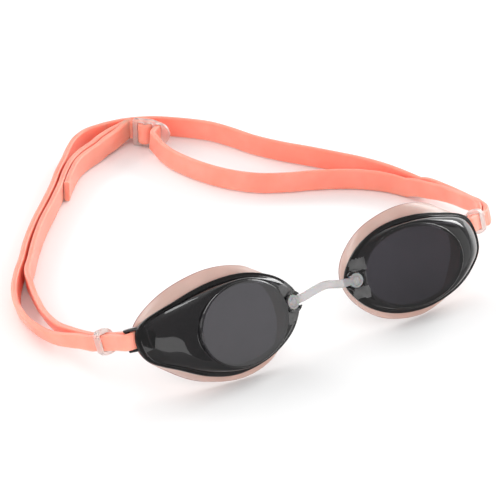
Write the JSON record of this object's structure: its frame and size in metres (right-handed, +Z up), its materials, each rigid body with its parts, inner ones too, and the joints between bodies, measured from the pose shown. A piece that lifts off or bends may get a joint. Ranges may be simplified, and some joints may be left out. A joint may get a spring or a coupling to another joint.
{
  "type": "swim goggles",
  "caption": "Racing swim goggles with smoke one-piece eye cups, soft gaskets, a snap-in nose bridge and a coral double strap with keepers and a rear buckle.",
  "frame": {"origin": "on the table under the centre of the bounding box", "axes": "+Z up, -Y the way the windows face, +X to the wearer's left; millimetres in the source, metres here"},
  "size_m": [0.1961, 0.2053, 0.0366],
  "materials": {
    "smoke_lens": "clear smoke-tinted polycarbonate, glossy",
    "gasket_silicone": "translucent pinkish beige silicone, satin",
    "bridge_clear": "milky clear flexible plastic",
    "strap_silicone": "translucent coral silicone, satin",
    "clip_clear": "clear slightly frosted plastic"
  },
  "bodies": {
    "strap": {"nose_bridge": "bridge_clear", "strap_outer_run": "strap_silicone", "strap_inner_left": "strap_silicone", "strap_inner_right": "strap_silicone", "buckle": "clip_clear"},
    "left_eye": {"cup_left": "smoke_lens", "gasket_left": "gasket_silicone", "strap_loop_left": "strap_silicone"},
    "right_eye": {"cup_right": "smoke_lens", "gasket_right": "gasket_silicone", "strap_loop_right": "strap_silicone"},
    "left_keeper": {"keeper_left": "clip_clear"},
    "right_keeper": {"keeper_right": "clip_clear"}
  },
  "joints": [
    {"name": "left_cup_turn", "type": "hinge", "parent": "strap", "child": "left_eye", "pos_m": [-0.02594, -0.09148, 0.02001], "axis": [0.1361, -0.9104, 0.3907], "range_deg": [-5, 5]},
    {"name": "right_cup_turn", "type": "hinge", "parent": "strap", "child": "right_eye", "pos_m": [0.00324, -0.09148, 0.02001], "axis": [-0.1361, -0.9104, 0.3907], "range_deg": [-5, 5]},
    {"name": "left_keeper_slide", "type": "slide", "parent": "left_eye", "child": "left_keeper", "axis": [-0.0667, 0.9185, -0.3898], "range_m": [-0.004, 0.0024]},
    {"name": "right_keeper_slide", "type": "slide", "parent": "right_eye", "child": "right_keeper", "axis": [0.8451, 0.472, -0.2512], "range_m": [-0.0003, 0.0036]}
  ]
}
